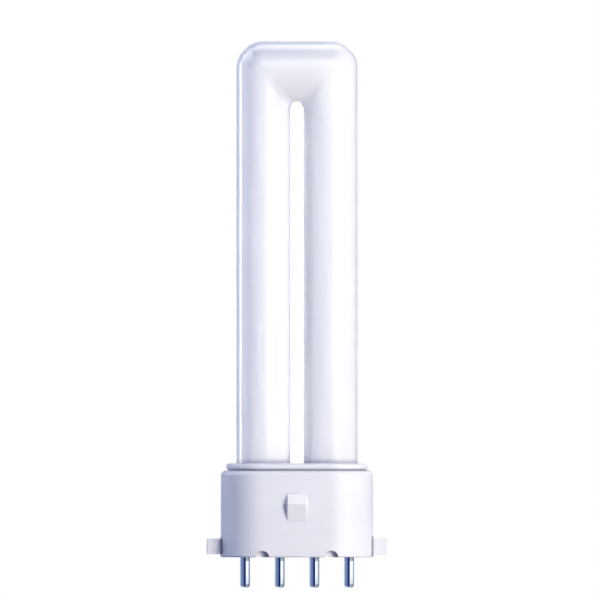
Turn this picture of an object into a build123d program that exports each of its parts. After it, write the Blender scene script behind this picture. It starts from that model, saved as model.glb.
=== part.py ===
from build123d import *
from math import atan2, cos, degrees, pi, sin, sqrt, tan
import os

# Compact fluorescent bulb: a doubled glass tube that stands in a plastic cap with four pins in a row.
# Lengths are in millimetres. The cap seats at z = 0, the glass points up and the pins point down.

# Glass tube
tube_diameter = 12.0
slot_width = 3.0
glass_top = 114.7
bridge_height = 13.7
shoulder_cut = 3.7
shoulder_blend = 5.2
middle_cut = 1.3
middle_blend = 2.1
section_step = 2.0
section_points = 24
skin_tolerance = 0.01

# Flattened seals at the feet of the glass
foot_z = 13.0
foot_step = 0.1
seal_top = 10.4
seal_bottom = 6.8
seal_width = 12.4
seal_thickness = 3.2
seal_corner = 1.2
lead_spacing = 5.6
lead_depth = 2.4

# Housing of the cap
housing_height = 19.3
housing_wall = 1.8
housing_draft = 0.3
housing_top_round = 1.1
housing_bottom_round = 0.3
floor_thickness = 2.0
cavity_margin = 1.7
mouth_depth = 1.6
mouth_margin = 2.25

# Collar that closes the cap
collar_show = 1.6
collar_round = 0.7
collar_under_round = 0.15
seam_gap = 0.3
seam_sink = 0.3
seam_depth = 0.4
collar_skirt = 4.5
collar_skirt_margin = 1.4
glue_gap = 0.4
bore_chamfer = 0.3
glue_recess = 0.4

# Snap catches on the broad faces
catch_bottom = 8.0
catch_ridge = 11.8
catch_top = 14.1
catch_reach = 1.4
catch_face_width = 4.1
catch_root_width = 5.6
catch_ridge_round = 0.25

# Lugs on the narrow ends and scoops under the broad faces
lug_reach = 3.05
lug_width = 5.0
lug_bottom = 0.67
lug_height = 3.5
lug_round = 0.3
scoop_radius = 1.5
scoop_spacing = 15.4

# Contact pins
pin_pitch = 7.7
pin_count = 4
pin_diameter = 2.3
pin_length = 6.8
pin_root_diameter = 3.2
pin_tip_round = 0.7
barrel_diameter = 1.8
barrel_height = 2.0
pin_bore = 1.1
pin_tip_wall = 1.5
pin_bore_cone = 0.5
flange_diameter = 4.2
flange_thickness = 0.7

# Lead wires
wire_diameter = 0.6
wire_bend = 0.8
wire_straight = 0.5
wire_end_recess = 0.1

# Clearances
pin_clearance = 0.02
wire_clearance = 0.02
glue_clearance = 0.02
mouth_clearance = 0.05

# Places that follow from the sizes above
tube_radius = tube_diameter / 2
slot_half = slot_width / 2
leg_x = slot_half + tube_radius
leg_spacing = 2 * leg_x
bend_z = glass_top - bridge_height - slot_half
cavity_radius = tube_radius + cavity_margin
housing_radius = cavity_radius + housing_wall
mouth_radius = tube_radius + mouth_margin
shelf_z = housing_height - mouth_depth
collar_top = housing_height + collar_show
glue_bore_radius = tube_radius + glue_gap
collar_bottom = shelf_z - collar_skirt
pin_radius = pin_diameter / 2
pin_root_radius = pin_root_diameter / 2
wire_radius = wire_diameter / 2
wire_hole_radius = wire_radius + wire_clearance
pin_top = floor_thickness + barrel_height
pin_places = [(i - (pin_count - 1) / 2) * pin_pitch for i in range(pin_count)]
lead_places = [leg + side * lead_spacing / 2 for leg in (-leg_x, leg_x) for side in (-1, 1)]
standing = (Align.CENTER, Align.CENTER, Align.MIN)


def stadium(end_radius):
    """Plan of the cap: half circles about the two legs, joined by straight sides."""
    return SlotCenterToCenter(leg_spacing, 2 * end_radius)


def column(end_radius, bottom, top, draft=0):
    """Upright block with the plan of the cap, narrowing upwards by a draft in degrees."""
    return extrude(Pos(0, 0, bottom) * stadium(end_radius), top - bottom, taper=draft)


def ease(share):
    """Smooth step from 0 to 1."""
    return share * share * (3 - 2 * share)


def mix(start, end, share):
    return start + (end - start) * share


def path_reach(half_width, height, cut, blend, angle):
    """Distance from the bend centre to a flat-topped path with cut, blended shoulders."""
    across = abs(cos(angle))
    up = sin(angle)
    run = blend * tan(pi / 8)
    side_blend = (half_width - blend, height - cut - run, 0)
    top_blend = (half_width - cut - run, height - blend, pi / 4)
    for centre_x, centre_z, first_turn in (side_blend, top_blend):
        along = centre_x * across + centre_z * up
        inside = along ** 2 - centre_x ** 2 - centre_z ** 2 + blend ** 2
        if inside > 0:
            reach = along + sqrt(inside)
            turn = atan2(reach * up - centre_z, reach * across - centre_x)
            if first_turn <= turn <= first_turn + pi / 4:
                return reach
    straights = [(half_width, across), (height, up), (half_width + height - cut, across + up)]
    return min(distance / slope for distance, slope in straights if slope > 0)


def shoulder_shape(share):
    """Cut and blend of the path at a share of the way from the slot to the outer side."""
    inner_cut = slot_half / (1 + sqrt(0.5))
    if share < 0.5:
        part = ease(2 * share)
        cut = mix(inner_cut, middle_cut, part)
        blend = mix(slot_half, middle_blend, part)
    else:
        part = ease(2 * share - 1)
        cut = mix(middle_cut, shoulder_cut, part)
        blend = mix(middle_blend, shoulder_blend, part)
    return cut, min(blend, cut * (1 + sqrt(0.5)))


def section_row(angle):
    """Front half of the glass section at an angle about the bend, from the slot outwards."""
    row = []
    for i in range(section_points + 1):
        turn = pi * i / section_points
        share = (1 - cos(turn)) / 2
        cut, blend = shoulder_shape(share)
        half_width = slot_half + tube_diameter * share
        height = slot_half + bridge_height * share
        reach = path_reach(half_width, height, cut, blend, angle)
        row.append((reach * cos(angle), -tube_radius * sin(turn), bend_z + reach * sin(angle)))
    return row


def bend_front():
    """Front half of the bend's skin, fitted through its sections."""
    steps = round(180 / section_step)
    rows = [section_row(pi * i / steps) for i in range(steps + 1)]
    return Face.make_surface_from_array_of_points(rows, tol=skin_tolerance, min_deg=3, max_deg=5)


def glass_body():
    """Bend and both round legs as one closed body."""
    front = bend_front()
    skins = [front, front.mirror(Plane.XZ)]
    rims = [edge for skin in skins for edge in skin.edges() if abs(edge.center().Z - bend_z) < skin_tolerance]
    walls = [Face.extrude(rim, Vector(0, 0, foot_z - bend_z)) for rim in rims]
    lower_rims = [rim.moved(Pos(0, 0, foot_z - bend_z)) for rim in rims]
    feet = []
    for side in (-1, 1):
        halves = [rim for rim in lower_rims if rim.center().X * side > 0]
        feet.append(Face(Wire(halves)))
    return Solid(Shell(skins + walls + feet))


def seal(leg):
    """Foot of one leg, flattened and pinched shut around its two lead wires."""
    round_end = Pos(leg, 0, foot_z) * Circle(tube_radius - foot_step)
    flat_end = Pos(leg, 0, seal_top) * RectangleRounded(seal_width, seal_thickness, seal_corner)
    foot = loft([flat_end, round_end])
    foot += extrude(flat_end, seal_bottom - seal_top)
    for side in (-1, 1):
        place = Pos(leg + side * lead_spacing / 2, 0, seal_bottom)
        foot -= place * Cylinder(wire_hole_radius, lead_depth, align=standing)
    return foot


def discharge_tube():
    glass = Part() + glass_body()
    for leg in (-leg_x, leg_x):
        glass += seal(leg)
    return glass


def catch():
    """Snap catch on the front face: two sloped facets that meet at a ridge, with flared flanks."""
    face = -housing_radius
    profile = make_face(Polyline((face, catch_bottom), (face - catch_reach, catch_ridge),
                                 (face, catch_top), close=True))
    wedge = extrude(Plane.YZ * profile, catch_root_width / 2, both=True)
    wedge = fillet(wedge.edges().sort_by(Axis.Y)[0], catch_ridge_round)
    half_face = catch_face_width / 2
    half_root = catch_root_width / 2
    outline = Polyline((half_face, catch_bottom), (half_root, catch_ridge), (half_face, catch_top),
                       (-half_face, catch_top), (-half_root, catch_ridge), (-half_face, catch_bottom),
                       close=True)
    front = Plane(origin=(0, face, 0), x_dir=(1, 0, 0), z_dir=(0, -1, 0))
    flare = degrees(atan2(half_root - half_face, catch_reach))
    root = extrude(front * make_face(outline), -housing_wall / 2)
    return root + (wedge & extrude(front * make_face(outline), catch_reach, taper=flare))


def lug():
    """Lug on the right end of the housing, with its free end rounded."""
    length = lug_reach + housing_wall
    block = Box(length, lug_width, lug_height, align=(Align.MIN, Align.CENTER, Align.MIN))
    block = fillet(block.faces().sort_by(Axis.X)[-1].edges(), lug_round)
    return Pos(leg_x + housing_radius - housing_wall, 0, lug_bottom) * block


def cap_housing():
    """Open cup with the cap's plan: a shelf for the collar and a floor that carries the pins."""
    body = column(housing_radius, 0, housing_height, housing_draft)
    body = fillet(body.edges().group_by(Axis.Z)[-1], housing_top_round)
    body = fillet(body.edges().group_by(Axis.Z)[0], housing_bottom_round)
    front_catch = catch()
    right_lug = lug()
    body += [front_catch, front_catch.mirror(Plane.XZ), right_lug, right_lug.mirror(Plane.YZ)]
    body -= column(mouth_radius, shelf_z, housing_height)
    body -= column(cavity_radius, floor_thickness, shelf_z)
    for x in pin_places:
        body -= Pos(x, 0, 0) * Cylinder(pin_root_radius + pin_clearance, floor_thickness, align=standing)
    for x in (-scoop_spacing / 2, scoop_spacing / 2):
        for y in (-housing_radius, housing_radius):
            body -= Pos(x, y, 0) * Sphere(scoop_radius)
    return body


def cap_collar():
    """Plate over the housing's mouth, a shadow seam under it, and a skirt around the two legs."""
    plate_radius = mouth_radius - mouth_clearance
    seam_top = housing_height + seam_gap
    seam_bottom = housing_height - seam_sink
    collar = column(plate_radius, seam_top, collar_top)
    collar = fillet(collar.edges().group_by(Axis.Z)[-1], collar_round)
    collar = fillet(collar.edges().group_by(Axis.Z)[0], collar_under_round)
    collar += column(plate_radius - seam_depth, seam_bottom, seam_top)
    collar += column(plate_radius, shelf_z, seam_bottom)
    collar += column(tube_radius + collar_skirt_margin, collar_bottom, shelf_z)
    height = collar_top - collar_bottom
    for x in (-leg_x, leg_x):
        collar -= Pos(x, 0, collar_bottom) * Cylinder(glue_bore_radius, height, align=standing)
        collar -= Pos(x, 0, collar_top - bore_chamfer) * Cone(
            glue_bore_radius, glue_bore_radius + bore_chamfer, bore_chamfer, align=standing)
    return collar


def cement_ring(leg):
    """Ring of cement that holds one leg of the glass in the collar."""
    height = collar_top - glue_recess - collar_bottom
    ring = Cylinder(glue_bore_radius - glue_clearance, height, align=standing)
    ring -= Cylinder(tube_radius + glue_clearance, height, align=standing)
    return Pos(leg, 0, collar_bottom) * ring


def contact_pin(x):
    """Hollow pin: round-tipped shank, thicker root in the floor, flange on it and open barrel."""
    bore = pin_bore / 2
    barrel = barrel_diameter / 2
    bore_end = pin_tip_wall - pin_length
    flange_top = floor_thickness + flange_thickness
    outline = Polyline(
        (wire_hole_radius, -pin_length), (pin_radius, -pin_length), (pin_radius, 0),
        (pin_root_radius, 0), (pin_root_radius, floor_thickness),
        (flange_diameter / 2, floor_thickness), (flange_diameter / 2, flange_top),
        (barrel, flange_top), (barrel, pin_top), (bore, pin_top), (bore, bore_end),
        (wire_hole_radius, bore_end - pin_bore_cone), close=True)
    section = make_face(outline)
    tip_corner = section.vertices().group_by(Axis.Y)[0].sort_by(Axis.X)[-1]
    section = fillet(tip_corner, pin_tip_round)
    return Pos(x, 0, 0) * revolve(Plane.XZ * section, Axis.Z)


def lead_wire(lead_x, pin_x):
    """Wire from a seal of the glass, across to its pin and down to the pin's tip."""
    start = (lead_x, 0, seal_bottom + lead_depth)
    route = FilletPolyline(
        start, (lead_x, 0, seal_bottom - wire_straight), (pin_x, 0, pin_top + wire_straight),
        (pin_x, 0, wire_end_recess - pin_length), radius=wire_bend)
    return sweep(Plane(origin=start, z_dir=(0, 0, -1)) * Circle(wire_radius), path=route)


parts = {
    "discharge_tube": discharge_tube(),
    "cap_housing": cap_housing(),
    "cap_collar": cap_collar(),
    "cement_ring_left": cement_ring(-leg_x),
    "cement_ring_right": cement_ring(leg_x),
}
for number, (lead, place) in enumerate(zip(lead_places, pin_places), start=1):
    parts[f"contact_pin_{number}"] = contact_pin(place)
    parts[f"lead_wire_{number}"] = lead_wire(lead, place)

os.makedirs("parts", exist_ok=True)
for name, piece in parts.items():
    export_step(piece, f"parts/{name}.step")
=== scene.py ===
# %% [markdown]
# # A compact fluorescent bulb
# The lamp is a glass tube bent double, white inside, that stands in a moulded plastic cap with four
# nickel-plated pins. The frame holds every piece at its real size, in metres, with the cap's seat at
# z = 0. This lesson gives each piece its surface, and remakes the two forms that light shows best: the
# bent glass and the row of pins.

# %% Load the frame
from math import cos, pi, radians, sin, tan

import bmesh
import bpy
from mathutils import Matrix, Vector


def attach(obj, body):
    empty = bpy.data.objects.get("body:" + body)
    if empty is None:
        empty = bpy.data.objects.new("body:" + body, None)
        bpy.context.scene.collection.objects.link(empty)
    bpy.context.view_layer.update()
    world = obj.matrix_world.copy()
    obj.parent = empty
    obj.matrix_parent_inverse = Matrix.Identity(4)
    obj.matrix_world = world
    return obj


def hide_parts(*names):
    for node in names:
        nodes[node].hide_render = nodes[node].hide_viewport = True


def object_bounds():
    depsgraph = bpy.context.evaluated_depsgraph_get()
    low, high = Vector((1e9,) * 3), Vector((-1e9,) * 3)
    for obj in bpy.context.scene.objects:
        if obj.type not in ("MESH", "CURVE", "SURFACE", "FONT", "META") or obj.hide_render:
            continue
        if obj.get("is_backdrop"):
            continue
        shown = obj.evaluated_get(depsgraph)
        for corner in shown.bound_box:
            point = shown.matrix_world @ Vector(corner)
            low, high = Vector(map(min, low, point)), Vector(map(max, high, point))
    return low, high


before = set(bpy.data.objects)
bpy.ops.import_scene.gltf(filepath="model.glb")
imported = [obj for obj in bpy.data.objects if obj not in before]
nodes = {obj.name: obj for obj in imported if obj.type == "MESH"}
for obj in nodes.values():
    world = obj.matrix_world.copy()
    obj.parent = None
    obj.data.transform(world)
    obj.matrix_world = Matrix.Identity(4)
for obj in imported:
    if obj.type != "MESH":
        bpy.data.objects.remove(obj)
cad_box = [list(corner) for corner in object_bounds()]
MM = 0.001
print("pieces in the frame:", len(nodes))
print("frame box in mm:", [[round(value / MM, 2) for value in corner] for corner in cad_box])

# %% [markdown]
# ## Camera
# The photograph shows the bulb square on, with upright edges that stay parallel, as from far away. An
# orthographic camera gives such a picture. Its scale is the height of the picture in metres, which is
# the picture's height in pixels over the pixels that one millimetre of the bulb takes.

# %% Place the camera
PICTURE_PIXELS = 600
PIXELS_PER_MM = 4.5
SEAT_PIXEL_Y = 557.3
AXIS_PIXEL_X = 296.9
CAMERA_DISTANCE = 0.6

camera_data = bpy.data.cameras.new("camera")
camera_data.type = "ORTHO"
camera_data.ortho_scale = PICTURE_PIXELS / PIXELS_PER_MM * MM
camera = bpy.data.objects.new("camera", camera_data)
bpy.context.scene.collection.objects.link(camera)
camera.location = (
    (PICTURE_PIXELS / 2 - AXIS_PIXEL_X) / PIXELS_PER_MM * MM,
    -CAMERA_DISTANCE,
    (SEAT_PIXEL_Y - PICTURE_PIXELS / 2) / PIXELS_PER_MM * MM,
)
camera.rotation_euler = (pi / 2, 0, 0)
bpy.context.scene.camera = camera
bpy.context.scene.view_settings.view_transform = "Standard"
print("picture height in mm:", round(camera_data.ortho_scale / MM, 2))

# %% [markdown]
# ## Writing formulas as nodes
# A long formula made of Math nodes is hard to read. The small class below keeps one wire of a node tree
# and turns the usual signs into Math nodes, so that a formula in a tree looks like one in a script. The
# function below it fills an input of a node, whatever it is given.

# %% A wire that can be calculated with
class Wire:
    """One number on its way through a node tree."""

    def __init__(self, tree, socket):
        self.tree = tree
        self.socket = socket

    def math(self, operation, *others):
        """This value and the others through a Math node."""
        node = self.tree.nodes.new("ShaderNodeMath")
        node.operation = operation
        for entry, value in zip(node.inputs, (self, *others)):
            feed(self.tree, value, entry)
        return Wire(self.tree, node.outputs[0])

    def __add__(self, other):
        return self.math("ADD", other)

    def __sub__(self, other):
        return self.math("SUBTRACT", other)

    def __mul__(self, other):
        return self.math("MULTIPLY", other)

    def __truediv__(self, other):
        return self.math("DIVIDE", other)

    def ramp(self, start, end, low=0.0, high=1.0, smooth=False):
        """From low to high while this wire goes from start to end, and level outside."""
        node = self.tree.nodes.new("ShaderNodeMapRange")
        node.interpolation_type = "SMOOTHSTEP" if smooth else "LINEAR"
        feed(self.tree, self, node.inputs["Value"])
        for name, value in (("From Min", start), ("From Max", end), ("To Min", low), ("To Max", high)):
            feed(self.tree, value, node.inputs[name])
        return Wire(self.tree, node.outputs["Result"])

    def towards(self, other, share):
        """This value at share 0 and the other at share 1."""
        return self + (Wire.of(self.tree, other) - self) * share

    @staticmethod
    def of(tree, value):
        """A wire that carries a plain number."""
        if isinstance(value, Wire):
            return value
        node = tree.nodes.new("ShaderNodeValue")
        node.outputs[0].default_value = value
        return Wire(tree, node.outputs[0])


def feed(tree, value, entry):
    """Give an input a wire, a socket or a plain value."""
    if isinstance(value, Wire):
        tree.links.new(value.socket, entry)
    elif isinstance(value, bpy.types.NodeSocket):
        tree.links.new(value, entry)
    else:
        entry.default_value = value


print("a wire can do:", [name for name in vars(Wire) if not name.startswith("__")], "and + - * /")

# %% [markdown]
# ## Helpers for node trees
# The same few steps come back in every tree: add a node with its inputs filled, take a vector apart, mix
# two colours or two shaders, and ask which kind of ray is looking. Each gets a short function here, so
# that the cells below only say what is special to them.

# %% Add nodes and mix
def add_node(tree, kind, **inputs):
    """Add a node and fill its inputs, named with underscores for spaces."""
    node = tree.nodes.new(kind)
    for name, value in inputs.items():
        feed(tree, value, node.inputs[name.replace("_", " ")])
    return node


def axes(tree, vector):
    """The three parts of a vector, as wires."""
    parts = add_node(tree, "ShaderNodeSeparateXYZ", Vector=vector)
    return [Wire(tree, socket) for socket in parts.outputs]


def mix_colours(tree, share, first, second):
    """A colour that goes from the first to the second as the share goes from 0 to 1."""
    blend = tree.nodes.new("ShaderNodeMix")
    blend.data_type = "RGBA"
    feed(tree, share, blend.inputs["Factor"])
    for entry, colour in (("A", first), ("B", second)):
        feed(tree, (*colour, 1) if isinstance(colour, tuple) else colour, blend.inputs[entry])
    return blend.outputs["Result"]


def mix_shaders(tree, share, first, second):
    """A surface that goes from the first shader to the second as the share goes from 0 to 1."""
    mix = add_node(tree, "ShaderNodeMixShader", Fac=share)
    feed(tree, first.outputs[0], mix.inputs[1])
    feed(tree, second.outputs[0], mix.inputs[2])
    return mix


def rays(tree, first, *others):
    """1 for rays of any of the kinds named, and 0 for the rest."""
    path = tree.nodes.new("ShaderNodeLightPath")
    found = Wire(tree, path.outputs[first])
    for kind in others:
        found = found.math("MAXIMUM", path.outputs[kind])
    return found


print("helpers:", [helper.__name__ for helper in (add_node, axes, mix_colours, mix_shaders, rays)])

# %% [markdown]
# ## The studio around the bulb
# The bulb is white on white, so its shape shows only through soft shading. The room of the photograph is
# unknown. What the glass and the pins reflect suggests white behind the bulb, pale surroundings to the
# right, and dark blue ones to the left and in front. Cards could stand there, but a world whose colour
# follows the compass does the same with no extra objects. Overhead, a ceiling takes over from the walls,
# pale at the back and darker towards the camera. These colours were found by trial, render after render,
# so they suit this one view, and other views are plainer.

# %% Give the walls and the ceiling their colours
WORLD_COMPASS = (
    (-180, (1.0, 1.0, 1.0)),
    (-130, (0.90, 0.92, 1.0)),
    (-100, (0.34, 0.40, 0.66)),
    (-85, (0.25, 0.30, 0.56)),
    (-50, (0.21, 0.27, 0.53)),
    (-22, (0.07, 0.16, 0.42)),
    (-12, (0.0, 0.02, 0.12)),
    (16, (0.0, 0.02, 0.12)),
    (24, (0.44, 0.47, 0.56)),
    (30, (0.60, 0.63, 0.72)),
    (62, (0.52, 0.55, 0.64)),
    (84, (0.38, 0.41, 0.50)),
    (106, (0.28, 0.31, 0.42)),
    (122, (0.24, 0.28, 0.40)),
    (160, (0.22, 0.26, 0.40)),
    (172, (1.0, 1.0, 1.0)),
    (180, (1.0, 1.0, 1.0)),
)
CEILING_FRONT = (0.12, 0.16, 0.32)
CEILING_BACK = (0.85, 0.88, 0.97)
CEILING_TURN = (0.1, 0.5)
CEILING_RISE = (0.25, 0.55)

world = bpy.data.worlds.new("studio")
bpy.context.scene.world = world
world.use_nodes = True
tree = world.node_tree
tree.nodes.clear()
east, north, up = axes(tree, add_node(tree, "ShaderNodeTexCoord").outputs["Generated"])
compass = east.math("ARCTAN2", north * -1) / (2 * pi) + 0.5
walls = tree.nodes.new("ShaderNodeValToRGB")
while len(walls.color_ramp.elements) < len(WORLD_COMPASS):
    walls.color_ramp.elements.new(0.5)
for stop, (angle, colour) in zip(walls.color_ramp.elements, WORLD_COMPASS):
    stop.position = angle / 360 + 0.5
    stop.color = (*colour, 1)
feed(tree, compass, walls.inputs["Fac"])
ceiling = mix_colours(tree, north.ramp(*CEILING_TURN), CEILING_FRONT, CEILING_BACK)
room = mix_colours(tree, up.ramp(*CEILING_RISE, smooth=True), walls.outputs["Color"], ceiling)
print("compass stops in the world:", len(walls.color_ramp.elements))

# %% [markdown]
# ### A white background
# The camera sees plain white in every direction instead of the room, and so does a look through clear
# glass. Reflections see the room, so that the pins and the glass take its darks, but straight behind the
# bulb they see the white too. None of this changes the light that shades the bulb.

# %% Show white to the camera
WORLD_LEVEL = 1.0
BACKGROUND_WHITE = (1.0, 1.0, 1.0)
STRAIGHT_BEHIND = (0.975, 0.99)

behind = rays(tree, "Is Glossy Ray") * north.ramp(*STRAIGHT_BEHIND, smooth=True)
seen = rays(tree, "Is Camera Ray", "Is Transmission Ray").math("MAXIMUM", behind)
shown = mix_colours(tree, seen, room, BACKGROUND_WHITE)
backdrop = add_node(tree, "ShaderNodeBackground", Color=shown, Strength=WORLD_LEVEL)
add_node(tree, "ShaderNodeOutputWorld", Surface=backdrop.outputs[0])
print("nodes in the world:", len(tree.nodes))

# %% [markdown]
# ## Lamps
# Three lamps shade the bulb: a softbox to the right that models the round forms, a faint blue fill from
# the left, and a soft one behind for the back. All the others are cards. They light nothing, and only
# mirror reflections see them, so each draws one bright shape on the glass or the pins without changing
# the shading. Like the walls, they were placed by trial until the front looked like the photograph:
#
# - the glow cards make the broad pale bands down the front of each leg;
# - the edge cards make the thin bright line along the left side of the glass;
# - the shoulder, brow and top cards brighten the cut corner, the bridge and the flat top;
# - the strip behind draws a line down the back of each leg;
# - the pin cards are low and flat, so only the pins see them.

# %% Hang the lamps
GLASS_AIM = 0.06
PIN_AIM = 0.006


def hang_lamp(name, azimuth, height, distance, size, radiance, colour, task, aim=GLASS_AIM):
    """A rectangular lamp that faces the bulb's axis at the aim height, for shading or reflections."""
    data = bpy.data.lights.new(name, "AREA")
    data.shape = "RECTANGLE"
    data.size, data.size_y = size
    data.energy = radiance * pi * size[0] * size[1]
    data.color = colour
    lamp = bpy.data.objects.new(name, data)
    bpy.context.scene.collection.objects.link(lamp)
    middle = Vector((0, 0, aim))
    compass_point = radians(azimuth)
    lamp.location = middle + Vector((sin(compass_point) * distance, -cos(compass_point) * distance, height))
    lamp.rotation_euler = (middle - lamp.location).to_track_quat("-Z", "Y").to_euler()
    lamp.visible_camera = False
    lamp.visible_diffuse = task == "shading"
    lamp.visible_glossy = task == "reflections"
    lamp.visible_transmission = False


hang_lamp("key_softbox", 39, 0.045, 0.55, (0.20, 0.22), 21.0, (1.0, 0.95, 0.87), "shading")
hang_lamp("left_fill", -112, 0.05, 0.55, (0.30, 0.30), 1.0, (0.0, 0.22, 1.0), "shading")
hang_lamp("back_softbox", 176, 0.16, 0.55, (0.45, 0.32), 2.2, (1.0, 0.97, 0.92), "shading")
hang_lamp("glow_left", -36, 0.05, 0.56, (0.80, 0.18), 2.45, (0.96, 0.97, 1.0), "reflections")
hang_lamp("glow_wide", 22, 0.05, 0.55, (0.42, 0.18), 1.6, (1.0, 0.98, 0.96), "reflections")
hang_lamp("glow_narrow", 25, 0.05, 0.52, (0.28, 0.18), 1.8, (1.0, 0.98, 0.96), "reflections")
hang_lamp("pin_card", 41, 0.0, 0.55, (0.36, 0.024), 0.9, (1.0, 1.0, 1.0), "reflections", PIN_AIM)
hang_lamp("pin_card_side", 87, 0.0, 0.55, (0.50, 0.024), 0.85, (1.0, 1.0, 1.0), "reflections", PIN_AIM)
hang_lamp("edge_strip", -111.5, 0.05, 0.55, (0.07, 0.18), 11.0, (1.0, 0.98, 0.94), "reflections")
hang_lamp("edge_card", -111, 0.05, 0.55, (0.34, 0.18), 3.2, (1.0, 0.98, 0.95), "reflections")
hang_lamp("edge_glow", -84, 0.05, 0.55, (0.23, 0.18), 4.2, (1.0, 0.98, 0.96), "reflections")
hang_lamp("shoulder_card", -95, 0.37, 0.50, (0.60, 0.46), 5.4, (1.0, 0.98, 0.92), "reflections")
hang_lamp("back_strip", 180, -0.05, 0.55, (0.09, 0.24), 2.6, (1.0, 1.0, 1.0), "reflections")
hang_lamp("brow_card", 0, 0.33, 0.50, (0.50, 0.28), 3.0, (0.97, 0.98, 1.0), "reflections")
hang_lamp("top_strip", 180, 0.50, 0.09, (0.50, 0.26), 3.9, (0.97, 0.98, 1.0), "reflections")

# %% [markdown]
# ## The floor
# The bulb stands on its pins on a pale floor. Seen level, the floor is only a line, but other views look
# down on it. It is part lit and part glowing for the camera, so it joins the white background without
# an edge and still shows the bulb's soft shadow.

# %% Lay the floor
FLOOR_REACH = 1.5
FLOOR_CORNERS = ((-1, -1), (1, -1), (1, 1), (-1, 1))

floor_mesh = bpy.data.meshes.new("floor")
floor_z = cad_box[0][2]
floor_points = [(x * FLOOR_REACH, y * FLOOR_REACH, floor_z) for x, y in FLOOR_CORNERS]
floor_mesh.from_pydata(floor_points, [], [(0, 1, 2, 3)])
floor = bpy.data.objects.new("floor", floor_mesh)
bpy.context.scene.collection.objects.link(floor)
floor.visible_glossy = False
floor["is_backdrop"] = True
print("floor at z in mm:", round(floor_z / MM, 2))

# %% [markdown]
# ### The floor's paint
# Near the bulb, the camera sees a painted floor that takes the shadow, with a glow added to bring it
# close to white. Further out it fades into pure white. The light that the floor throws back on the bulb
# comes from a plain paint of its own.

# %% Paint the floor
FLOOR_PALE = (0.20, 0.22, 0.31, 1)
FLOOR_SEEN = (0.42, 0.42, 0.43, 1)
FLOOR_WHITE = (1, 1, 1, 1)
FLOOR_GLOW = 0.60
SHADOW_REACH = (0.10, 0.32)

floor_paint = bpy.data.materials.new("pale_floor")
floor_paint.use_nodes = True
tree = floor_paint.node_tree
tree.nodes.clear()
spot = add_node(tree, "ShaderNodeTexCoord").outputs["Object"]
flat_spot = add_node(tree, "ShaderNodeVectorMath", Vector=spot)
flat_spot.operation = "MULTIPLY"
flat_spot.inputs[1].default_value = (1, 1, 0)
reach = tree.nodes.new("ShaderNodeVectorMath")
reach.operation = "LENGTH"
feed(tree, flat_spot.outputs[0], reach.inputs[0])
fade = Wire(tree, reach.outputs["Value"]).ramp(*SHADOW_REACH, smooth=True)
near = tree.nodes.new("ShaderNodeAddShader")
painted = add_node(tree, "ShaderNodeBsdfDiffuse", Color=FLOOR_SEEN)
glow = add_node(tree, "ShaderNodeEmission", Color=FLOOR_WHITE, Strength=FLOOR_GLOW)
feed(tree, painted.outputs[0], near.inputs[0])
feed(tree, glow.outputs[0], near.inputs[1])
far = add_node(tree, "ShaderNodeEmission", Color=FLOOR_WHITE, Strength=1.0)
for_camera = mix_shaders(tree, fade, near, far)
lit = add_node(tree, "ShaderNodeBsdfDiffuse", Color=FLOOR_PALE)
looks = rays(tree, "Is Camera Ray", "Is Glossy Ray", "Is Transmission Ray")
floor_mix = mix_shaders(tree, looks, lit, for_camera)
add_node(tree, "ShaderNodeOutputMaterial", Surface=floor_mix.outputs[0])
floor_mesh.materials.append(floor_paint)
print("the shadow's floor fades to white, in mm:", [round(value / MM) for value in SHADOW_REACH])

# %% [markdown]
# ## Finishes
# Every finish reads the place on the piece in metres, so its grain has a real size: a third of a
# millimetre for the moulded texture, a few millimetres for the faint clouds in the white coat. The
# helpers below start a material, give that place, draw a cloudy pattern, raise a relief, and measure how
# open a spot is, which tells corners and gaps from free surfaces.

# %% Start a finish
CLOUD_RANGE = (0.3, 0.7)
PROBE_RAYS = 8


def new_finish(name, **surface):
    """A material with a Principled surface, and the node tree and place to build its detail on."""
    finish = bpy.data.materials.new(name)
    finish.use_nodes = True
    tree = finish.node_tree
    tree.nodes.clear()
    skin = add_node(tree, "ShaderNodeBsdfPrincipled", **surface)
    add_node(tree, "ShaderNodeOutputMaterial", Surface=skin.outputs[0])
    place = add_node(tree, "ShaderNodeTexCoord").outputs["Object"]
    return finish, tree, skin, place


def clouds(tree, place, size, detail=2.0, roughness=0.5, stretch=(1, 1, 1)):
    """A cloudy pattern from 0 to 1 whose patches are about that size in metres."""
    mapping = add_node(tree, "ShaderNodeMapping", Vector=place, Scale=stretch)
    noise = add_node(tree, "ShaderNodeTexNoise", Vector=mapping.outputs[0], Scale=1 / size)
    noise.inputs["Detail"].default_value = detail
    noise.inputs["Roughness"].default_value = roughness
    return Wire(tree, noise.outputs["Fac"])


def relief(tree, height, depth, entry):
    """Make the surface look raised by that height pattern, depth in metres from 0 to 1."""
    bump = add_node(tree, "ShaderNodeBump", Height=height, Distance=depth, Strength=1.0)
    feed(tree, bump.outputs[0], entry)


def openness(tree, reach):
    """1 where nothing stands within that reach in metres, and less in corners and gaps."""
    probe = add_node(tree, "ShaderNodeAmbientOcclusion", Distance=reach)
    probe.samples = PROBE_RAYS
    return Wire(tree, probe.outputs["AO"])


print("helpers for finishes:", [helper.__name__ for helper in (new_finish, clouds, relief, openness)])
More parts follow.
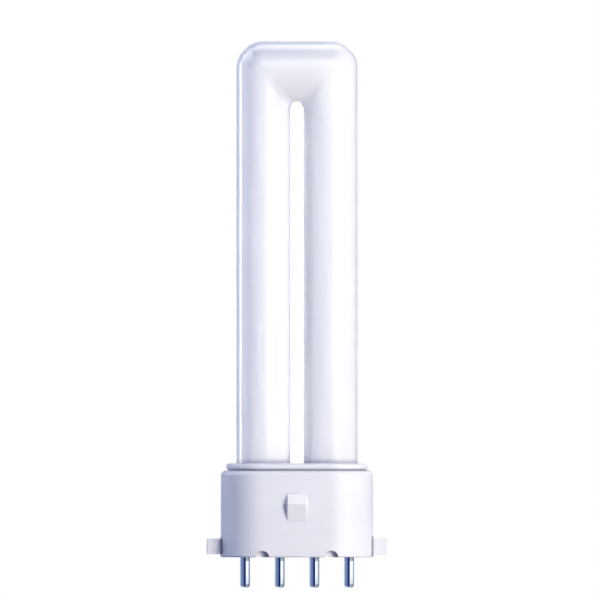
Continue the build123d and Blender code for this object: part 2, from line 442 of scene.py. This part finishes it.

# %% [markdown]
# ### The white coat under clear glass
# A powder coats the inside of the glass. Light goes through the clear wall, spreads in the powder and
# comes out soft, while the wall itself reflects sharply. A Principled surface does this in one: a
# matte base in which light spreads sideways, under a smooth clear coat. The powder dried in faint
# upright streaks, which only just show. Each leg is painted darker towards its foot, as painted shade
# where it goes into the collar. The wall is never quite even, so its reflections waver a little.
#
# In the photograph the gap between the legs looks bluer and darker than these lamps make it. The tint for
# the nook deepens it. It stands in for shade, and is not a stain on the real powder.

# %% Mix the glass finish
POWDER_WHITE = (0.965, 0.965, 0.98)
POWDER_THIN = (0.935, 0.94, 0.96)
FOOT_SHADE = (0.45, 0.45, 0.58)
POWDER_SPREAD = 0.010
STREAK_SIZE = 0.0022
STREAK_STRETCH = (1, 1, 0.12)
PATCH_SIZE = 0.009
FOOT_START = 0.0206
FOOT_END = 0.0225
FOOT_UNEVEN = 0.0004
NOOK_TINT = (0.40, 0.42, 0.54)
NOOK_REACH = 0.0045
NOOK_DARK = 0.30
NOOK_OPEN = 0.66
RIPPLE_SIZE = 0.012
RIPPLE_STRETCH = (1, 1, 0.25)
RIPPLE_DEPTH = 0.00002

coated_glass, tree, skin, place = new_finish(
    "coated_glass",
    Roughness=0.45,
    IOR=1.5,
    Specular_IOR_Level=0.35,
    Subsurface_Weight=1.0,
    Subsurface_Radius=(1.0, 1.0, 1.0),
    Subsurface_Scale=POWDER_SPREAD,
    Coat_Weight=1.0,
    Coat_Roughness=0.055,
    Coat_IOR=1.5,
)
streaks = clouds(tree, place, STREAK_SIZE, detail=3.0, stretch=STREAK_STRETCH)
patches = clouds(tree, place, PATCH_SIZE)
powder = streaks.ramp(*CLOUD_RANGE) * 0.5 + patches.ramp(*CLOUD_RANGE) * 0.5
height = axes(tree, place)[2]
# Painted shade: each leg darkens towards its foot, where it goes into the collar.
above_foot = (height + streaks * FOOT_UNEVEN).ramp(FOOT_START, FOOT_END, smooth=True)
out_of_nook = openness(tree, NOOK_REACH).ramp(NOOK_DARK, NOOK_OPEN, smooth=True)
coat = mix_colours(tree, powder, POWDER_THIN, POWDER_WHITE)
coat = mix_colours(tree, out_of_nook, NOOK_TINT, coat)
coat = mix_colours(tree, above_foot, FOOT_SHADE, coat)
feed(tree, coat, skin.inputs["Base Color"])
ripple = clouds(tree, place, RIPPLE_SIZE, detail=1.0, stretch=RIPPLE_STRETCH)
relief(tree, ripple, RIPPLE_DEPTH, skin.inputs["Coat Normal"])
print("finish:", coated_glass.name, "with", len(tree.nodes), "nodes")

# %% [markdown]
# ### Moulded cap plastic
# The cap is a pale heat-resistant plastic with the faint grain of its mould, and a slight sheen. Its
# shade drifts a little, as plastic does where it flowed into the mould.

# %% Mix the plastic
PLASTIC_PALE = (0.89, 0.895, 0.92)
PLASTIC_DULL = (0.86, 0.865, 0.90)
GRAIN_SIZE = 0.00035
GRAIN_DEPTH = 0.00003
GRAIN_RANGE = (0.2, 0.8)
GRAIN_SHEEN = (0.36, 0.48)
FLOW_SIZE = 0.007
FLOW_STRETCH = (0.5, 0.5, 1)

cap_plastic, tree, skin, place = new_finish("cap_plastic", IOR=1.5, Specular_IOR_Level=0.5)
grain = clouds(tree, place, GRAIN_SIZE, detail=4.0, roughness=0.6)
flow = clouds(tree, place, FLOW_SIZE, stretch=FLOW_STRETCH)
moulded = mix_colours(tree, flow.ramp(*CLOUD_RANGE), PLASTIC_DULL, PLASTIC_PALE)
feed(tree, grain.ramp(*GRAIN_RANGE, *GRAIN_SHEEN), skin.inputs["Roughness"])
relief(tree, grain, GRAIN_DEPTH, skin.inputs["Normal"])
print("finish:", cap_plastic.name)

# %% [markdown]
# ### Painted light and shade on the cap
# The lamps here leave the faces of the catches too dark, and the seam, the left
# flank of the catch, the roots of the lugs and the scoops too light. The plastic's colour makes up the
# difference: painted light on the faces of the catches, and painted shade in the other places. Neither
# is wear or dust on the real cap. Each is a share from 0 to 1, and where two kinds of painted shade meet
# the larger share wins.
#
# The light comes from the right, so the left gets more painted shade. That part stays where it is
# when the bulb is lit from elsewhere. For other light, give both values of the catch shade the same
# number and take the scoop shade down to 0.

# %% Paint light on the faces of the catches
CATCH_PAINTED_LIGHT = (0.985, 0.985, 0.99)
CATCH_LIGHT_EDGE = (0.00202, 0.00206)
CATCH_LIGHT_DEPTH = (0.00952, 0.00960)

across, deep, height = axes(tree, place)
aside = across.math("ABSOLUTE")
outward = deep.math("ABSOLUTE")
# Painted light: the front faces of the catches are made paler.
painted_light = aside.ramp(*CATCH_LIGHT_EDGE, 1, 0) * outward.ramp(*CATCH_LIGHT_DEPTH)
moulded = mix_colours(tree, painted_light, moulded, CATCH_PAINTED_LIGHT)
print("rubbed face width in mm:", round(2 * CATCH_LIGHT_EDGE[0] / MM, 2))

# %% [markdown]
# The painted shade in the seam is a band at one height. The painted shade in corners follows the
# openness, and how much there is depends on the place: most at the lugs, which stand at the cap's two
# ends, and more to the left of the middle than to its right, which darkens one flank of each catch.

# %% Paint shade in the seam and the corners
PAINTED_SHADE_COLOUR = (0.10, 0.12, 0.22)
SEAM_SHADE = 0.74
SEAM_MIDDLE = 0.01933
SEAM_HALF = 0.00012
SEAM_FADE = 1.8
CORNER_REACH = 0.0009
CORNER_DARK = 0.70
CORNER_OPEN = 0.97
CORNER_SHADE = 0.34
CATCH_SHADE = (0.42, 0.12)
CATCH_MIDDLE = (-0.0001, 0.0001)
CATCH_LEVEL = (0.0155, 0.0160)
ROOT_SHADE = 0.95
ROOT_PLACE = (0.0163, 0.0168)

# Painted shade: a dark band along the seam, and darkening in corners, most at the lug roots and left of
# each catch.
in_seam = (height - SEAM_MIDDLE).math("ABSOLUTE").ramp(SEAM_HALF, SEAM_HALF * SEAM_FADE, 1, 0, smooth=True)
in_corner = openness(tree, CORNER_REACH).ramp(CORNER_DARK, CORNER_OPEN, 1, 0, smooth=True)
beside_catch = across.ramp(*CATCH_MIDDLE, *CATCH_SHADE)
corner_shade = height.ramp(*CATCH_LEVEL, beside_catch, CORNER_SHADE)
corner_shade = aside.ramp(*ROOT_PLACE, corner_shade, ROOT_SHADE)
painted_shade = (in_seam * SEAM_SHADE).math("MAXIMUM", in_corner * corner_shade)
print("seam height in mm:", SEAM_MIDDLE / MM)

# %% [markdown]
# The scoops are parts of four balls, so the distance from the nearest ball's middle finds them. The
# absolute values of the place fold the four middles into one. The lean of the surface then picks the
# side that faces left, away from the key light, which gets painted shade.

# %% Paint shade in the scoops
SCOOP_SHADE = 0.90
SCOOP_MIDDLE = (0.0077, 0.0095)
SCOOP_RIM = (0.00151, 0.00154)
SCOOP_LEAN = (-0.85, 0.05)

scoop_x = aside - SCOOP_MIDDLE[0]
scoop_y = outward - SCOOP_MIDDLE[1]
from_scoop = (scoop_x * scoop_x + scoop_y * scoop_y + height * height).math("SQRT")
lean = axes(tree, add_node(tree, "ShaderNodeTexCoord").outputs["Normal"])[0]
# Painted shade: the left-facing side of each scoop is made darker.
in_scoop = from_scoop.ramp(*SCOOP_RIM, 1, 0) * lean.ramp(*SCOOP_LEAN, SCOOP_SHADE, 0)
painted_shade = painted_shade.math("MAXIMUM", in_scoop)
feed(tree, mix_colours(tree, painted_shade, moulded, PAINTED_SHADE_COLOUR), skin.inputs["Base Color"])
print("finish:", cap_plastic.name, "with", len(tree.nodes), "nodes")

# %% [markdown]
# ### Cement, nickel and lead wire
# The basing cement is a matte, gritty paste. The pins are nickel-plated brass with fine turning rings,
# which run around each pin, so they are a wave along its height. The lead wires are drawn nickel. The
# colour of the pins is a little cooler than clean nickel, because the photographed pins look blue-grey.

# %% Mix the cement and metal finishes
CEMENT_DARK = (0.62, 0.62, 0.60)
CEMENT_LIGHT = (0.80, 0.80, 0.78)
GRIT_SIZE = 0.0003
GRIT_DEPTH = 0.00008
SMEAR_SIZE = 0.0012
RING_DEPTH = 0.0000002

cement, tree, skin, place = new_finish("cement", Roughness=0.9, Specular_IOR_Level=0.3)
grit = clouds(tree, place, GRIT_SIZE, detail=5.0, roughness=0.7)
feed(tree, mix_colours(tree, grit.ramp(*CLOUD_RANGE), CEMENT_DARK, CEMENT_LIGHT), skin.inputs["Base Color"])
relief(tree, grit, GRIT_DEPTH, skin.inputs["Normal"])


def metal_finish(name, dark, light, ring, polish):
    """Plated metal with fine rings a given distance apart along its height."""
    finish, tree, skin, place = new_finish(name, Metallic=1.0)
    height = axes(tree, place)[2]
    rings = (height * (2 * pi / ring)).math("SINE") * 0.5 + 0.5
    smear = clouds(tree, place, SMEAR_SIZE, detail=3.0)
    feed(tree, mix_colours(tree, smear.ramp(*CLOUD_RANGE), dark, light), skin.inputs["Base Color"])
    feed(tree, smear.ramp(*CLOUD_RANGE, *polish), skin.inputs["Roughness"])
    relief(tree, rings, RING_DEPTH, skin.inputs["Normal"])
    return finish


pin_nickel = metal_finish(
    "pin_nickel", dark=(0.69, 0.73, 0.76), light=(0.77, 0.81, 0.84), ring=0.0005, polish=(0.02, 0.04)
)
lead_nickel = metal_finish(
    "lead_nickel", dark=(0.58, 0.57, 0.55), light=(0.68, 0.67, 0.64), ring=0.00015, polish=(0.28, 0.40)
)
print("finishes:", cement.name, pin_nickel.name, lead_nickel.name)

# %% [markdown]
# ## The bent glass tube
# The tube was blown and bent double in a mould, so its top is flat, its shoulders are cut at 45 degrees
# and every edge is round. Sculpting that by hand would never be even. There is a rule behind it: at
# every place around the section the glass follows a flat path up one leg, round two 45 degree turns, over
# the top and down again, small at the slot and large outside. So the piece is a grid whose rows go along
# the path and whose columns go round the section, and a node tree puts each point in its place.
#
# The turns are tight at the slot, tighter still on the front and back of the tube, where the two inner
# creases of the bend show, and wide on the outside.

# %% Sizes of the glass in millimetres
GLASS = {
    "Tube diameter": 12.0,
    "Slot width": 3.0,
    "Bend level": 99.5,
    "Bridge height": 13.7,
    "Outer cut": 3.7,
    "Outer blend": 5.2,
    "Middle cut": 1.0,
    "Middle blend": 1.25,
    "Leg roundness": 2.0,
    "Bridge roundness": 2.4,
    "Foot top": 13.0,
    "Foot bottom": 6.8,
    "Pinch top": 10.4,
    "Pinch thickness": 3.2,
    "Pinch width": 12.4,
}
ROWS_ALONG = 193
POINTS_AROUND = 97
ROW_SHARES = {
    "end": 0.02,
    "pinch": 0.05,
    "foot": 0.20,
    "leg": 0.30,
    "first turn": 0.52,
    "shoulder": 0.62,
    "second turn": 0.86,
}
print("points in the glass grid:", ROWS_ALONG * POINTS_AROUND)

# %% [markdown]
# ### The path of one point of the section
# Seen from the front, a point goes up its leg, round the first turn, along the sloping shoulder, round
# the second turn and level to the middle. The cut is how much of the square corner the slope takes away,
# and the blend is the radius of each turn. A share of 0 is the slot's side of the section, 1 its outer
# side, and one half the front and the back. The row is 0 at a leg's end and 1 at the middle of the top.

# %% The path as a formula
DIAGONAL = 1 + 0.5 ** 0.5
EIGHTH_TURN = pi / 4


def shoulder(size, share):
    """Cut and blend of the path at a share of the way from the slot to the outer side."""
    inner = share.ramp(0, 0.5).ramp(0, 1, smooth=True)
    outer = share.ramp(0.5, 1).math("POWER", 2)
    half_slot = size["Slot width"] / 2
    cut = (half_slot / DIAGONAL).towards(size["Middle cut"], inner).towards(size["Outer cut"], outer)
    blend = half_slot.towards(size["Middle blend"], inner).towards(size["Outer blend"], outer)
    return cut, blend.math("MINIMUM", cut * DIAGONAL)


def bend_path(size, share, row):
    """Place to the side, place above the bend's level, and the angle turned so far."""
    half_width = size["Slot width"] / 2 + size["Tube diameter"] * share
    top = size["Slot width"] / 2 + size["Bridge height"] * share
    cut, blend = shoulder(size, share)
    run = blend * tan(EIGHTH_TURN / 2)
    on_slope = row.ramp(ROW_SHARES["first turn"], ROW_SHARES["shoulder"])
    angle = row.ramp(ROW_SHARES["leg"], ROW_SHARES["first turn"]) * EIGHTH_TURN
    angle = angle + row.ramp(ROW_SHARES["shoulder"], ROW_SHARES["second turn"]) * EIGHTH_TURN
    x = (half_width - blend).towards(half_width - cut - run, on_slope) + blend * angle.math("COSINE")
    z = (top - cut - run).towards(top - blend, on_slope) + blend * angle.math("SINE")
    return x * row.ramp(ROW_SHARES["second turn"], 1, 1, 0), z, angle


print("a turn's run along the leg, as a share of its blend:", round(tan(EIGHTH_TURN / 2), 3))

# %% [markdown]
# ### Depth and foot
# Around the section, the depth follows a circle. On the slot's side of the bridge the circle grows a
# little fuller. At the foot, each leg was heated and squeezed flat to seal it, so the depth closes in
# to the pinch's thickness while the width spreads, and the very end closes to a line.

# %% The depth and the foot as formulas
PINCH_ROUND = 0.8


def section_depth(size, turn, angle):
    """How far in front of the middle plane a point of the section lies."""
    roundness = size["Leg roundness"].towards(size["Bridge roundness"], angle / (pi / 2))
    from_crest = turn.math("COSINE").math("MAXIMUM", 0)
    power = Wire.of(turn.tree, 1.0) / roundness
    lower = (from_crest.math("POWER", roundness) * -1 + 1).math("POWER", power)
    upper = turn.math("SINE").math("ABSOLUTE")
    facing = turn.math("SINE").math("SIGN") * -1
    on_lower = turn.math("COSINE").math("GREATER_THAN", 0)
    return upper.towards(lower, on_lower) * facing * (size["Tube diameter"] / 2)


def foot_height(size, row, above):
    """The height of a point, which leaves the one above it on the path for its place in the foot."""
    in_foot = row.ramp(ROW_SHARES["pinch"], ROW_SHARES["foot"])
    past_end = row.ramp(ROW_SHARES["end"], ROW_SHARES["pinch"]).math("CEIL")
    level = size["Foot bottom"].towards(size["Pinch top"].towards(size["Foot top"], in_foot), past_end)
    return level.towards(above, row.ramp(ROW_SHARES["foot"], ROW_SHARES["leg"]))


def pinch_foot(size, row, x, depth):
    """Squeeze the foot flat and close its end."""
    flat = row.ramp(ROW_SHARES["pinch"], ROW_SHARES["foot"], 1, 0, smooth=True)
    leg_x = size["Slot width"] / 2 + size["Tube diameter"] / 2
    pinched_x = leg_x + (x - leg_x) * (size["Pinch width"] / size["Tube diameter"])
    squeezed = depth.math("ABSOLUTE").math("SMOOTH_MIN", size["Pinch thickness"] / 2, PINCH_ROUND)
    closed = row.ramp(0, ROW_SHARES["end"])
    x = leg_x.towards(x.towards(pinched_x, flat), closed)
    return x, depth.towards(squeezed * depth.math("SIGN"), flat) * closed


print("pinch in mm:", GLASS["Pinch width"], "by", GLASS["Pinch thickness"])

# %% [markdown]
# ### The tree
# A grid one unit long and one unit wide comes in. Its length runs from one foot over the top to the
# other, and its width once around the section. The formulas give each point its place. Merging the
# points that fall together then closes the tube along its seam and at its two ends.

# %% Build the glass tree
WELD_DISTANCE = 2e-6


def named_inputs(tree, sizes):
    """Give the tree a mesh output and one named input for each size, and return the inputs as wires."""
    tree.interface.new_socket("Mesh", in_out="OUTPUT", socket_type="NodeSocketGeometry")
    for name, value in sizes.items():
        socket = tree.interface.new_socket(name, in_out="INPUT", socket_type="NodeSocketFloat")
        socket.default_value = value
    entry = tree.nodes.new("NodeGroupInput")
    return {name: Wire(tree, entry.outputs[name]) for name in sizes}


def build_glass_tree():
    """The node tree that shapes the bent tube."""
    tree = bpy.data.node_groups.new("bent_glass", "GeometryNodeTree")
    size = named_inputs(tree, GLASS)
    grid = add_node(tree, "GeometryNodeMeshGrid", Size_X=1, Size_Y=1)
    grid.inputs["Vertices X"].default_value = ROWS_ALONG
    grid.inputs["Vertices Y"].default_value = POINTS_AROUND
    along, around = axes(tree, tree.nodes.new("GeometryNodeInputPosition").outputs[0])[:2]
    side = along.math("SIGN")
    row = (along.math("ABSOLUTE") * -2) + 1
    turn = (around + 0.5) * (2 * pi)
    share = (turn.math("COSINE") * -0.5) + 0.5
    x, z, angle = bend_path(size, share, row)
    depth = section_depth(size, turn, angle)
    level = foot_height(size, row, z + size["Bend level"])
    x, depth = pinch_foot(size, row, x, depth)
    place = add_node(tree, "ShaderNodeCombineXYZ", X=x * side * MM, Y=depth * MM, Z=level * MM)
    shaped = add_node(
        tree, "GeometryNodeSetPosition", Geometry=grid.outputs["Mesh"], Position=place.outputs[0]
    )
    welded = add_node(
        tree, "GeometryNodeMergeByDistance", Geometry=shaped.outputs[0], Distance=WELD_DISTANCE
    )
    smooth = add_node(tree, "GeometryNodeSetShadeSmooth", Geometry=welded.outputs[0])
    real = add_node(tree, "GeometryNodeRealizeInstances", Geometry=smooth.outputs[0])
    finish = add_node(tree, "GeometryNodeSetMaterial", Geometry=real.outputs[0], Material=coated_glass)
    feed(tree, finish.outputs[0], tree.nodes.new("NodeGroupOutput").inputs[0])
    return tree


glass_tree = build_glass_tree()
print("nodes in the glass tree:", len(glass_tree.nodes))

# %% [markdown]
# ### From a tree to a plain mesh
# A modifier runs the tree. Its inputs are set by their identifiers before it first runs. The result is
# copied to a plain mesh and the modifier goes away, so that what rides on the frame is only a mesh. A
# second helper measures a piece: a closed one has no open edges, and faces that point outwards make its
# volume positive.

# %% Helpers that run a tree and measure a piece
def grow(name, tree, sizes, drawing=()):
    """Run the tree with those sizes, on a closed line drawn flat if it needs one, and keep a plain mesh."""
    start = bpy.data.meshes.new(name + "_start")
    lines = [(i, (i + 1) % len(drawing)) for i in range(len(drawing))]
    start.from_pydata([(x * MM, y * MM, 0) for x, y in drawing], lines, [])
    piece = bpy.data.objects.new(name, start)
    bpy.context.scene.collection.objects.link(piece)
    modifier = piece.modifiers.new("shape", "NODES")
    modifier.node_group = tree
    for socket in tree.interface.items_tree:
        if socket.in_out == "INPUT" and socket.name in sizes:
            modifier[socket.identifier] = sizes[socket.name]
    bpy.context.view_layer.update()
    graph = bpy.context.evaluated_depsgraph_get()
    shaped = piece.evaluated_get(graph)
    mesh = bpy.data.meshes.new_from_object(shaped, preserve_all_data_layers=True, depsgraph=graph)
    mesh.name = name
    piece.modifiers.remove(modifier)
    piece.data = mesh
    return piece


def describe(piece):
    """Print a piece's size, how many faces it has, and whether it is closed with its faces outwards."""
    form = bmesh.new()
    form.from_mesh(piece.data)
    loose = sum(1 for edge in form.edges if len(edge.link_faces) != 2)
    volume = form.calc_volume(signed=True) / MM ** 3
    form.free()
    places = [point.co for point in piece.data.vertices]
    low = [round(min(place[i] for place in places) / MM, 2) for i in range(3)]
    high = [round(max(place[i] for place in places) / MM, 2) for i in range(3)]
    print(f"{piece.name}: {low} to {high} mm, {len(piece.data.polygons)} faces, "
          f"{loose} open edges, volume {volume:.1f} mm3")


print("helpers for pieces:", [helper.__name__ for helper in (grow, describe)])

# %% [markdown]
# ### The glass in its place
# The new mesh has the sizes of the tube in the frame with finer sections, so it takes that node's place.

# %% Make the glass
glass = grow("bent_glass", glass_tree, GLASS)
describe(glass)
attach(glass, "root")
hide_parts("discharge_tube")

# %% [markdown]
# ## The row of contact pins
# Each pin was turned on a lathe from brass bar and plated: a round-tipped shank, a thicker root that is
# pressed into the floor of the cap, a flange, and a thin barrel that the lead wire comes down through.
# The four are alike and evenly spaced. So one closed profile, drawn from the pin's sizes, is enough. The
# node tree rounds its tip, turns it about the pin's axis and sets the result out in a row. A true lathe
# form has even normals, which a mirror-bright pin needs for straight reflections.

# %% Sizes of the pins in millimetres
PINS = {
    "Shank diameter": 2.3,
    "Shank length": 6.8,
    "Tip round": 0.7,
    "Edge round": 0.06,
    "Pitch": 7.7,
    "Count": 4,
}
ROOT_DIAMETER = 3.2
FLOOR_THICKNESS = 2.0
FLANGE_DIAMETER = 4.2
FLANGE_THICKNESS = 0.7
BARREL_DIAMETER = 1.8
BARREL_HEIGHT = 2.0
BORE = 1.1
WIRE_HOLE = 0.64
TIP_WALL = 1.5
BORE_CONE = 0.5
STRAIGHT_END = 0.9
print("pins span, in mm:", round(PINS["Pitch"] * (PINS["Count"] - 1), 2))

# %% [markdown]
# ### Half a section of one pin
# A pin cut down its middle shows two equal halves, and one is enough. The corners go around it: from the
# wire's hole out to the shank, up past the root and the flange, over the barrel's rim, and back down the
# bore.

# %% Draw the profile of one pin
def pin_profile():
    """Corners of the pin's section as (radius, height) in millimetres, once around."""
    shank = PINS["Shank diameter"] / 2
    tip = -PINS["Shank length"]
    flange_top = FLOOR_THICKNESS + FLANGE_THICKNESS
    pin_top = FLOOR_THICKNESS + BARREL_HEIGHT
    bore_end = tip + TIP_WALL
    outside = [(WIRE_HOLE / 2, tip), (shank, tip), (shank, tip + STRAIGHT_END), (shank, -STRAIGHT_END),
               (shank, 0), (ROOT_DIAMETER / 2, 0)]
    flange = [(ROOT_DIAMETER / 2, FLOOR_THICKNESS), (FLANGE_DIAMETER / 2, FLOOR_THICKNESS),
              (FLANGE_DIAMETER / 2, flange_top), (BARREL_DIAMETER / 2, flange_top)]
    inside = [(BARREL_DIAMETER / 2, pin_top), (BORE / 2, pin_top), (BORE / 2, bore_end),
              (WIRE_HOLE / 2, bore_end - BORE_CONE)]
    return outside + flange + inside


corners = pin_profile()
print("corners in the pin's profile:", len(corners))

# %% [markdown]
# ### Turned and set out in a row
# The profile goes round a guide circle, whose way up makes the drawing's second direction point down. So
# the heights are drawn upside down, and the corners in the opposite order to keep the faces outwards.

# %% Turn the profile and set out the row
GUIDE_RADIUS = 1.0
STEPS_ROUND_PIN = 96
STEPS_ROUND_EDGE = 6
TIP_NEAR = 0.01
SHARP_EDGE = radians(40)


def turned_pin(tree, size):
    """One pin: the drawn profile with rounded corners, swept round the guide circle."""
    drawn = tree.nodes.new("NodeGroupInput").outputs["Profile"]
    line = add_node(tree, "GeometryNodeMeshToCurve", Mesh=drawn)
    drawn_x, drawn_y = axes(tree, tree.nodes.new("GeometryNodeInputPosition").outputs[0])[:2]
    to_tip = size["Shank length"] - drawn_y / MM
    to_side = size["Shank diameter"] / 2 - (drawn_x / MM + GUIDE_RADIUS)
    at_tip = to_tip.math("LESS_THAN", TIP_NEAR) * to_side.math("LESS_THAN", TIP_NEAR)
    fillet = add_node(tree, "GeometryNodeFilletCurve", Curve=line.outputs[0])
    feed(tree, size["Edge round"].towards(size["Tip round"], at_tip) * MM, fillet.inputs["Radius"])
    fillet.mode = "POLY"
    fillet.inputs["Count"].default_value = STEPS_ROUND_EDGE
    guide = add_node(tree, "GeometryNodeCurvePrimitiveCircle", Resolution=STEPS_ROUND_PIN)
    guide.inputs["Radius"].default_value = GUIDE_RADIUS * MM
    level = add_node(tree, "GeometryNodeSetCurveNormal", Curve=guide.outputs[0])
    level.mode = "Z_UP"
    return add_node(
        tree, "GeometryNodeCurveToMesh", Curve=level.outputs[0], Profile_Curve=fillet.outputs[0]
    )


def build_pin_tree():
    """The node tree that turns one pin and repeats it along a line."""
    tree = bpy.data.node_groups.new("pin_row", "GeometryNodeTree")
    tree.interface.new_socket("Profile", in_out="INPUT", socket_type="NodeSocketGeometry")
    size = named_inputs(tree, PINS)
    turned = turned_pin(tree, size)
    first = add_node(tree, "ShaderNodeCombineXYZ", X=size["Pitch"] * (size["Count"] - 1) * (-MM / 2))
    step = add_node(tree, "ShaderNodeCombineXYZ", X=size["Pitch"] * MM)
    row = add_node(tree, "GeometryNodeMeshLine", Count=size["Count"], Offset=step.outputs[0])
    feed(tree, first.outputs[0], row.inputs["Start Location"])
    pins = add_node(
        tree, "GeometryNodeInstanceOnPoints", Points=row.outputs[0], Instance=turned.outputs[0]
    )
    real = add_node(tree, "GeometryNodeRealizeInstances", Geometry=pins.outputs[0])
    bend = Wire(tree, tree.nodes.new("GeometryNodeInputMeshEdgeAngle").outputs["Unsigned Angle"])
    smooth = add_node(tree, "GeometryNodeSetShadeSmooth", Geometry=real.outputs[0])
    sharp = add_node(tree, "GeometryNodeSetShadeSmooth", Geometry=smooth.outputs[0], Shade_Smooth=False)
    sharp.domain = "EDGE"
    feed(tree, bend.math("GREATER_THAN", SHARP_EDGE), sharp.inputs["Selection"])
    finish = add_node(tree, "GeometryNodeSetMaterial", Geometry=sharp.outputs[0], Material=pin_nickel)
    feed(tree, finish.outputs[0], tree.nodes.new("NodeGroupOutput").inputs[0])
    return tree


pin_tree = build_pin_tree()
print("nodes in the pin tree:", len(pin_tree.nodes))

# %% [markdown]
# ### The row in its place
# The row has the sizes of the four pins in the frame, so one mesh stands in for all four.

# %% Make the row of pins
drawing = [(radius - GUIDE_RADIUS, -height) for radius, height in reversed(corners)]
pins = grow("pin_row", pin_tree, PINS, drawing)
describe(pins)
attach(pins, "root")
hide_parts(*[f"contact_pin_{number}" for number in range(1, 5)])

# %% [markdown]
# ## Finishes on the cap, the cement and the metal
# These solids already have their true form, with round edges, so they stay. Each only gets its finish.

# %% Paint the solids
FINISHES = {
    "cap_housing": cap_plastic,
    "cap_collar": cap_plastic,
    "cement_ring_left": cement,
    "cement_ring_right": cement,
}
FINISHES.update({f"lead_wire_{number}": lead_nickel for number in range(1, 5)})
for name, finish in FINISHES.items():
    slots = nodes[name].data.materials
    slots.clear()
    slots.append(finish)
print("painted:", len(FINISHES), "pieces")

# %% [markdown]
# ## Size
# The dressed bulb has to fill the same box as the solids. The two boxes are compared here, and the
# largest difference is printed.

# %% Compare the two boxes
shown_box = [list(corner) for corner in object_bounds()]
gaps = [abs(a - b) / MM for p, q in zip(cad_box, shown_box) for a, b in zip(p, q)]
print("largest difference in mm:", max(gaps))
